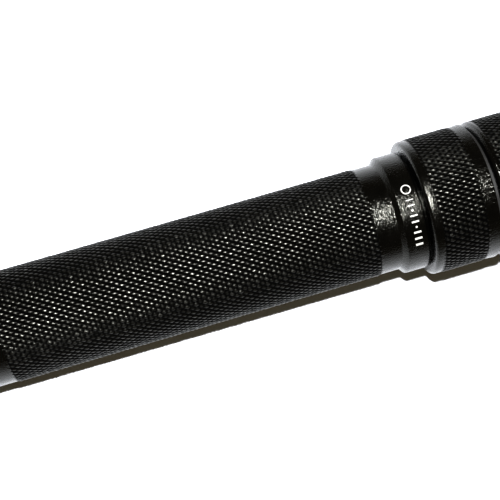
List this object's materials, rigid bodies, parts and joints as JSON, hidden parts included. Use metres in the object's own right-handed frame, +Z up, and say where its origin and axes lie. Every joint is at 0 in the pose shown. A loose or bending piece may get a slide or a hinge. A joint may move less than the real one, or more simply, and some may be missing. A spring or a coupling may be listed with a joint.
{
  "type": "tactical flashlight",
  "caption": "Slim black tactical flashlight with a knurled grip, a scaled collar, a knurled selector ring, a finned flared head with a strike bezel, and a guarded tail switch.",
  "frame": {"origin": "on the main axis, in the middle of the knurled grip that a mounting ring clamps", "axes": "+X along the main axis towards the head, +Z up through the detent and a tail guard, the light lying level"},
  "size_m": [0.195, 0.043, 0.041],
  "materials": {
    "black_anodised": "hard anodised, satin black",
    "bare_aluminium": "machined",
    "reflector_mirror": "vacuum metallised, smooth",
    "board_white": "white solder mask",
    "seal_rubber": "greased nitrile",
    "boot_rubber": "matte silicone",
    "nickel": "nickel plated",
    "bearing_steel": "polished",
    "spring_steel": "drawn wire",
    "brass": "machined",
    "gold_contact": "gold plated",
    "glide_plastic": "black acetal",
    "carrier_plastic": "moulded",
    "component_black": "moulded",
    "circuit_board": "green solder mask",
    "phosphor": "clear silicone over yellow phosphor",
    "lens_glass": "coated, clear",
    "cell_wrap": "shrink sleeve",
    "lead_red": "silicone insulation",
    "lead_black": "silicone insulation"
  },
  "bodies": {
    "light": {"body_tube": "black_anodised", "tail_seal": "seal_rubber", "selector_seal_rear": "seal_rubber", "selector_seal_front": "seal_rubber", "detent_ball": "bearing_steel", "detent_spring": "spring_steel", "glide_washer": "glide_plastic", "driver_board": "circuit_board", "driver_components": "component_black", "hall_sensor": "component_black", "driver_contact": "gold_contact", "driver_retaining_ring": "brass", "head_housing": "black_anodised", "heat_sink": "bare_aluminium", "led_board": "board_white", "led_board_screws": "bearing_steel", "led_emitter": "phosphor", "led_centring_ring": "glide_plastic", "reflector": "reflector_mirror", "lens": "lens_glass", "lens_gasket": "seal_rubber", "bezel_ring": "black_anodised", "battery_rear": "cell_wrap", "battery_middle": "cell_wrap", "battery_front": "cell_wrap", "led_lead_positive": "lead_red", "led_lead_negative": "lead_black"},
    "selector": {"selector_ring": "black_anodised", "selector_magnet": "nickel"},
    "tail_contact": {"tail_spring": "gold_contact"},
    "tailcap": {"tailcap": "black_anodised", "switch_retaining_ring": "brass", "switch_board": "circuit_board", "switch_housing": "component_black", "switch_carrier": "carrier_plastic", "boot_washer": "glide_plastic", "switch_boot": "boot_rubber"},
    "button": {"switch_stem": "component_black", "switch_return_spring": "spring_steel"}
  },
  "joints": [
    {"name": "selector_turn", "type": "hinge", "parent": "light", "child": "selector", "pos_m": [0.0619, 0, 0], "axis": [1, 0, 0], "range_deg": [-60, 60]},
    {"name": "tailcap_travel", "type": "slide", "parent": "light", "child": "tail_contact", "axis": [-1, 0, 0], "range_m": [0, 0.00125]},
    {"name": "tailcap_turn", "type": "hinge", "parent": "tail_contact", "child": "tailcap", "pos_m": [-0.06, 0, 0], "axis": [-1, 0, 0], "range_deg": [0, 360]},
    {"name": "switch_press", "type": "slide", "parent": "tailcap", "child": "button", "axis": [1, 0, 0], "range_m": [0, 0.0018], "stiffness_N_per_m": 1200, "springref_m": -0.0006, "deforming": ["switch_boot", "switch_return_spring"]}
  ],
  "couplings": [
    {"joint": "tailcap_travel", "follows": "tailcap_turn", "m_per_rad": 0.00019894}
  ]
}
